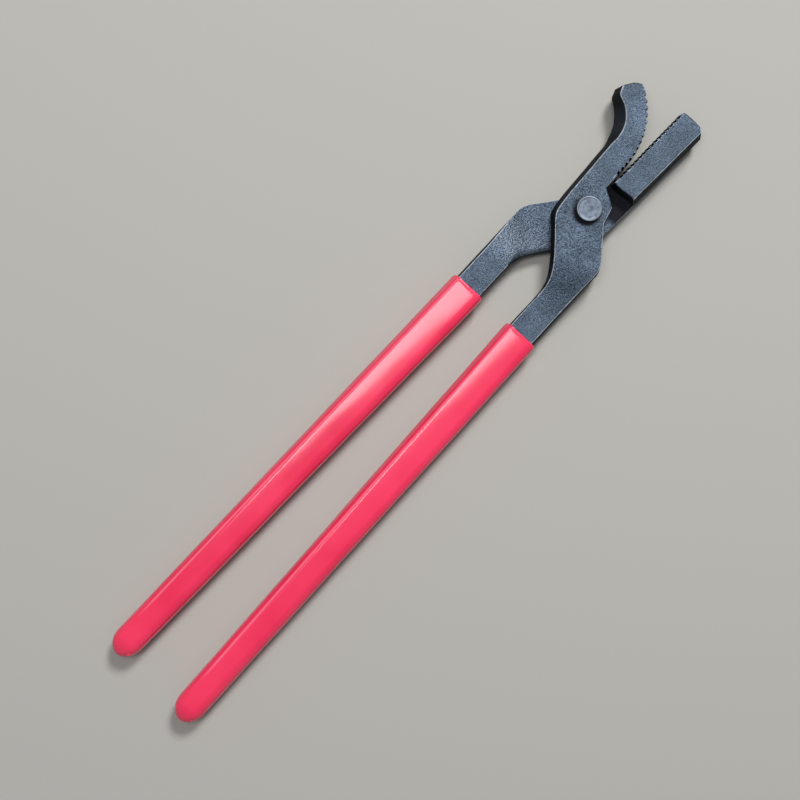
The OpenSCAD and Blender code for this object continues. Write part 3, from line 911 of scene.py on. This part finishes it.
class CLINCHER_OT_levers(bpy.types.Operator):
    """Forge both levers and bore them for the rivet"""
    bl_idname = "clincher.levers"
    bl_label = "Levers"

    def execute(self, context):
        scene = context.scene
        s, grips, rivet = scene.clincher_lever, scene.clincher_grip, scene.clincher_rivet
        steel = blackened_forging(scene.clincher_finish)
        curved, block = scene.clincher_curved_jaw, scene.clincher_block_jaw
        shank, tail, top = rivet.shank / 2, rivet.tail / 2, 2 * s.half_height + 2 * MM
        plans = (
            (UPPER, grips.upper_reach, s.neck_shift / 2, curved.edge, 11,
             (curved, *curved_jaw_edges(s, curved), 0, curved.growth, 2.5 * MM)),
            (LOWER, grips.lower_reach, -s.neck_shift / 2, -block.edge, 29,
             (block, *block_jaw_edges(s, block), 0.6 * MM, 0, block.corner + 0.5 * MM)),
        )
        for half, reach, shift, edge, seed, jaw in plans:
            st = joined([
                rein_stations(s, reach - grips.coat_end),
                neck_stations(s, shift),
                boss_stations(s, edge),
                jaw_stations(s, *jaw)])
            mesh = half_mesh(s, half, *lever_points(s, st, seed))
            radius = shank + rivet.upper_fit
            mouth = [(radius, -MM)]
            if half == LOWER:
                radius, wide = shank + rivet.lower_fit, tail + rivet.lower_fit
                mouth = [(wide, -MM), (wide, 0), (radius, tail - shank)]
            hole = [(0, -MM), *mouth, (radius, top), (0, top)]
            mesh = bored(mesh, turned_mesh(hole, 96))
            name, node = half + "_forging", half + "_lever"
            add_piece(mesh, name, steel, half + "_half", node)
        return {"FINISHED"}


class CLINCHER_OT_rivet(bpy.types.Operator):
    """Set the rivet that both levers turn on"""
    bl_idname = "clincher.rivet"
    bl_label = "Rivet"

    def execute(self, context):
        scene = context.scene
        s, r = scene.clincher_lever, scene.clincher_rivet
        under = 2 * s.half_height + s.lap_gap / 2
        top = 2 * s.half_height + r.head_height
        shank, head, tail = r.shank / 2, r.head / 2, r.tail / 2
        flat = head - r.rim
        edge = 0.3 * MM
        lip = flat - edge
        crown = [(mix(flat, lip, k), top - r.dish * smooth(k)) for k in (0.3, 0.6, 1)]
        crown += [(lip * k / 8, top - r.dish * (1 - 0.5 * (1 - (k / 8) ** 2))) for k in range(7, -1, -1)]
        profile = (
            [(0, 0.25 * MM), (tail * 0.4, 0.2 * MM), (tail * 0.7, 0.08 * MM), (tail - edge, 0)]
            + [(tail, 0.1 * MM), (shank, tail - shank), (shank, under), (head - edge, under)]
            + arc((head - edge, under + edge), edge, -90, 0, 4)[1:]
            + arc((flat, top - r.rim), r.rim, 0, 90, 6) + crown)
        steel = rubbed_rivet_steel(scene.clincher_finish)
        mesh = turned_mesh(profile, 128, wobble=0.004, seed=5)
        body = LOWER + "_half"
        add_piece(mesh, "hot_set_rivet", steel, body, "pivot_rivet", sharp=50)
        return {"FINISHED"}


class CLINCHER_OT_grips(bpy.types.Operator):
    """Dip both reins in vinyl"""
    bl_idname = "clincher.grips"
    bl_label = "Grips"

    def execute(self, context):
        scene = context.scene
        s, g = scene.clincher_lever, scene.clincher_grip
        vinyl = dipped_vinyl(scene.clincher_finish)
        for half, reach, seed in ((UPPER, g.upper_reach, 41), (LOWER, g.lower_reach, 53)):
            mesh = half_mesh(s, half, *grip_points(s, g, reach, seed))
            name, node = half + "_dipped_grip", half + "_grip"
            add_piece(mesh, name, vinyl, half + "_half", node, sharp=60)
        return {"FINISHED"}


class CLINCHER_OT_stage(bpy.types.Operator):
    """Lay the floor and set the lamps and the camera"""
    bl_idname = "clincher.stage"
    bl_label = "Stage"

    def execute(self, context):
        scene = context.scene
        s, studio = scene.clincher_lever, scene.clincher_studio
        turn = 2 * math.pi * np.arange(48) / 48
        rim = FLOOR_RADIUS * np.stack([np.cos(turn), np.sin(turn), 0 * turn], -1)
        mesh = bpy.data.meshes.new("floor")
        mesh.from_pydata(rim.tolist(), [], [range(48)])
        mesh.materials.append(matt_floor_paint(studio))
        floor = bpy.data.objects.new("floor", mesh)
        scene.collection.objects.link(floor)

        world = bpy.data.worlds.new("daylight")
        world.use_nodes = True
        world.node_tree.nodes.clear()
        node = partial(add, world.node_tree)
        up = node("SeparateXYZ", {"Vector": node("TexCoord")["Generated"]})["Z"]
        light, shown = (
            node("Background", {"Color": node("ValToRGB", {"Fac": up}, stops), "Strength": strength})
            for stops, strength in (
                ([(0.1, studio.horizon), (0.85, studio.zenith)], studio.ambient),
                ([(0.35, studio.backdrop), (0.8, studio.ceiling)], 1.0)))
        both = node("MixShader", {0: seen_backdrop(node), 1: light, 2: shown})
        node("OutputWorld", {"Surface": both})
        scene.world = world

        aimed = (KEY_AIM - KEY_PLACE).to_track_quat("-Z", "Y").to_euler()
        lamps = (
            ("key", KEY_PLACE, aimed, KEY_SIZE, studio.key_power),
            ("top", TOP_PLACE, (0, 0, TOP_TURN), TOP_SIZE, studio.top_power),
        )
        for name, place, turn, size, power in lamps:
            data = bpy.data.lights.new(name, "AREA")
            data.energy = power
            data.shape = "RECTANGLE"
            data.size, data.size_y = size
            lamp = bpy.data.objects.new(name, data)
            lamp.location = place
            lamp.rotation_euler = turn
            scene.collection.objects.link(lamp)

        data = bpy.data.cameras.new("camera")
        height = studio.camera_height - s.half_height
        data.sensor_width = 36
        data.lens = data.sensor_width * height / studio.view_width
        data.clip_start = 0.01
        data.shift_x = VIEW_SHIFT
        camera = bpy.data.objects.new("camera", data)
        right = VIEW_RIGHT.normalized()
        up = Vector((-right.y, right.x, 0))
        turn = Matrix((right, up, (0, 0, 1))).transposed().to_4x4()
        camera.matrix_world = Matrix.Translation((*VIEW_MIDDLE, studio.camera_height)) @ turn
        scene.collection.objects.link(camera)
        scene.camera = camera
        scene.view_settings.view_transform = "Standard"
        return {"FINISHED"}


class CLINCHER_PT_panel(bpy.types.Panel):
    """The clincher's pieces and its stage"""
    bl_idname = "CLINCHER_PT_panel"
    bl_label = "Nail clincher"
    bl_space_type = "VIEW_3D"
    bl_region_type = "UI"
    bl_category = "Clincher"

    def draw(self, context):
        for operator in OPERATORS:
            self.layout.operator(operator.bl_idname)
        for name in GROUPS:
            box = self.layout.box()
            group = getattr(context.scene, name)
            for field in group.bl_rna.properties:
                if field.identifier not in ("rna_type", "name"):
                    box.prop(group, field.identifier)


GROUPS = {
    "clincher_lever": LeverSizes,
    "clincher_curved_jaw": CurvedJawSizes,
    "clincher_block_jaw": BlockJawSizes,
    "clincher_grip": GripSizes,
    "clincher_rivet": RivetSizes,
    "clincher_finish": Finishes,
    "clincher_studio": Studio,
}
OPERATORS = (CLINCHER_OT_levers, CLINCHER_OT_rivet, CLINCHER_OT_grips, CLINCHER_OT_stage)


def register():
    for cls in (*GROUPS.values(), *OPERATORS, CLINCHER_PT_panel):
        bpy.utils.register_class(cls)
    for name, group in GROUPS.items():
        setattr(bpy.types.Scene, name, bpy.props.PointerProperty(type=group))


def unregister():
    for name in GROUPS:
        delattr(bpy.types.Scene, name)
    for cls in (CLINCHER_PT_panel, *reversed(OPERATORS), *reversed(GROUPS.values())):
        bpy.utils.unregister_class(cls)


def main():
    """Builds the tool round the frame."""
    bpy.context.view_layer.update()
    register()
    bpy.ops.clincher.levers()
    bpy.ops.clincher.rivet()
    bpy.ops.clincher.grips()
    bpy.ops.clincher.stage()


if __name__ == "__main__":
    main()
